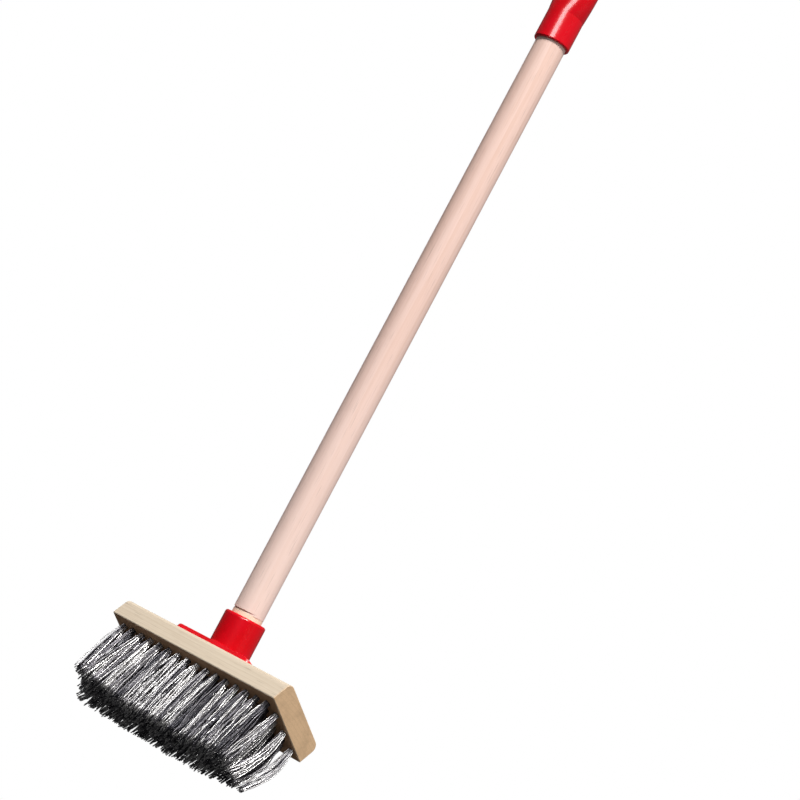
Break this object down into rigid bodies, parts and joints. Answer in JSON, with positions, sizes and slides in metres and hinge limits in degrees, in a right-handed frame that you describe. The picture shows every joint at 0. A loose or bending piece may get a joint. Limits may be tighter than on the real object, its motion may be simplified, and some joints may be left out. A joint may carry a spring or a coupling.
{
  "type": "pool wall brush",
  "caption": "Pool wall scrubbing brush: drilled wooden block with staggered stiff bristle tufts, and a round wooden pole leaning out of a plastic socket, with a plastic cap and hang hole.",
  "frame": {"origin": "middle of the working face, the plane of the bristle tips", "axes": "+X along the block, +Z from the bristle tips towards the block's back, pole leaning towards -Y"},
  "size_m": [0.225, 0.407, 0.6927],
  "materials": {
    "block_wood": "raw, sawn and sanded",
    "pole_wood": "raw, smooth turned",
    "red_plastic": "glossy moulded",
    "bristle": "glossy stiff strands",
    "anchor_wire": "drawn flat wire",
    "screw_steel": "zinc plated"
  },
  "bodies": {
    "head": {"brush_block": "block_wood", "handle_socket": "red_plastic", "socket_screws": "screw_steel", "tuft_roots_row_1": "bristle", "tuft_roots_row_2": "bristle", "tuft_roots_row_3": "bristle", "tuft_roots_row_4": "bristle", "tuft_roots_row_5": "bristle", "tuft_roots_row_6": "bristle", "tuft_anchors_row_1": "anchor_wire", "tuft_anchors_row_2": "anchor_wire", "tuft_anchors_row_3": "anchor_wire", "tuft_anchors_row_4": "anchor_wire", "tuft_anchors_row_5": "anchor_wire", "tuft_anchors_row_6": "anchor_wire"},
    "pole": {"handle_pole": "pole_wood", "handle_grip": "red_plastic"},
    "row_1": {"bristles_row_1": "bristle"},
    "row_2": {"bristles_row_2": "bristle"},
    "row_3": {"bristles_row_3": "bristle"},
    "row_4": {"bristles_row_4": "bristle"},
    "row_5": {"bristles_row_5": "bristle"},
    "row_6": {"bristles_row_6": "bristle"}
  },
  "joints": [
    {"name": "handle_pull", "type": "slide", "parent": "head", "child": "pole", "axis": [0, -0.515, 0.8572], "range_m": [0, 0.03]},
    {"name": "bristle_bend_1", "type": "hinge", "parent": "head", "child": "row_1", "pos_m": [0, -0.02375, 0.0574], "axis": [1, 0, 0], "range_deg": [-25, 25], "stiffness_Nm_per_rad": 1},
    {"name": "bristle_bend_2", "type": "hinge", "parent": "head", "child": "row_2", "pos_m": [0, -0.01425, 0.0574], "axis": [1, 0, 0], "range_deg": [-25, 25], "stiffness_Nm_per_rad": 1},
    {"name": "bristle_bend_3", "type": "hinge", "parent": "head", "child": "row_3", "pos_m": [0, -0.00475, 0.0574], "axis": [1, 0, 0], "range_deg": [-25, 25], "stiffness_Nm_per_rad": 1},
    {"name": "bristle_bend_4", "type": "hinge", "parent": "head", "child": "row_4", "pos_m": [0, 0.00475, 0.0574], "axis": [1, 0, 0], "range_deg": [-25, 25], "stiffness_Nm_per_rad": 1},
    {"name": "bristle_bend_5", "type": "hinge", "parent": "head", "child": "row_5", "pos_m": [0, 0.01425, 0.0574], "axis": [1, 0, 0], "range_deg": [-25, 25], "stiffness_Nm_per_rad": 1},
    {"name": "bristle_bend_6", "type": "hinge", "parent": "head", "child": "row_6", "pos_m": [0, 0.02375, 0.0574], "axis": [1, 0, 0], "range_deg": [-25, 25], "stiffness_Nm_per_rad": 1}
  ],
  "couplings": [
    {"joint": "bristle_bend_2", "follows": "bristle_bend_1", "ratio": 1},
    {"joint": "bristle_bend_3", "follows": "bristle_bend_1", "ratio": 1},
    {"joint": "bristle_bend_4", "follows": "bristle_bend_1", "ratio": 1},
    {"joint": "bristle_bend_5", "follows": "bristle_bend_1", "ratio": 1},
    {"joint": "bristle_bend_6", "follows": "bristle_bend_1", "ratio": 1}
  ]
}
